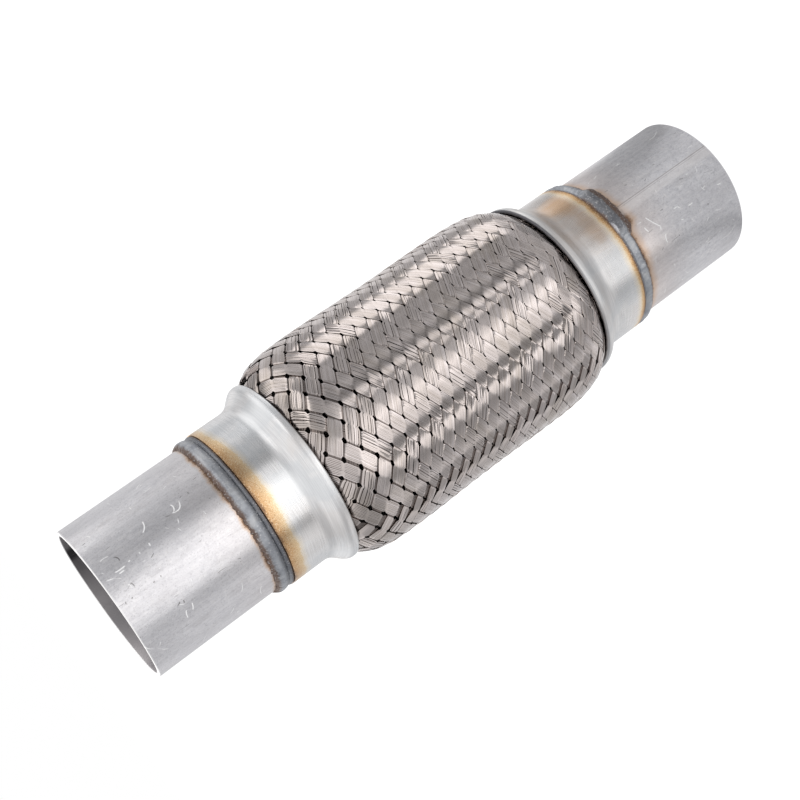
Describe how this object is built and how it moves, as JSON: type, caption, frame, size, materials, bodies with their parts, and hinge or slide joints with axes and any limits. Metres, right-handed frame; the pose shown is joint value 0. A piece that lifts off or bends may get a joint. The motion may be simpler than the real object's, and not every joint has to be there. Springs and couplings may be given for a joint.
{
  "type": "flexible exhaust pipe",
  "caption": "Flexible exhaust pipe: a woven wire sleeve over a steel bellows, clamped by flared collars with a straight tube welded to each end.",
  "frame": {"origin": "centre of the outlet tube's mouth, on the plane it stands on", "axes": "+Z along the pipe's axis from the outlet mouth up to the inlet mouth; the weld's restart is on the -Y side"},
  "size_m": [0.0764, 0.0764, 0.254],
  "materials": {
    "tube_steel": "lengthwise drawn, bare",
    "collar_steel": "satin, heat tinted beside the weld",
    "weld_steel": "as welded, blue grey",
    "braid_wire": "bright drawn wire",
    "bellows_steel": "bright rolled strip",
    "ring_steel": "plain"
  },
  "bodies": {
    "root": {"outlet_pipe": "tube_steel", "inlet_pipe": "tube_steel", "outlet_collar": "collar_steel", "inlet_collar": "collar_steel", "outlet_weld_bead": "weld_steel", "inlet_weld_bead": "weld_steel", "outlet_inner_ring": "ring_steel", "inlet_inner_ring": "ring_steel", "outer_braid": "braid_wire", "bellows": "bellows_steel", "inner_braid": "braid_wire"}
  },
  "joints": []
}
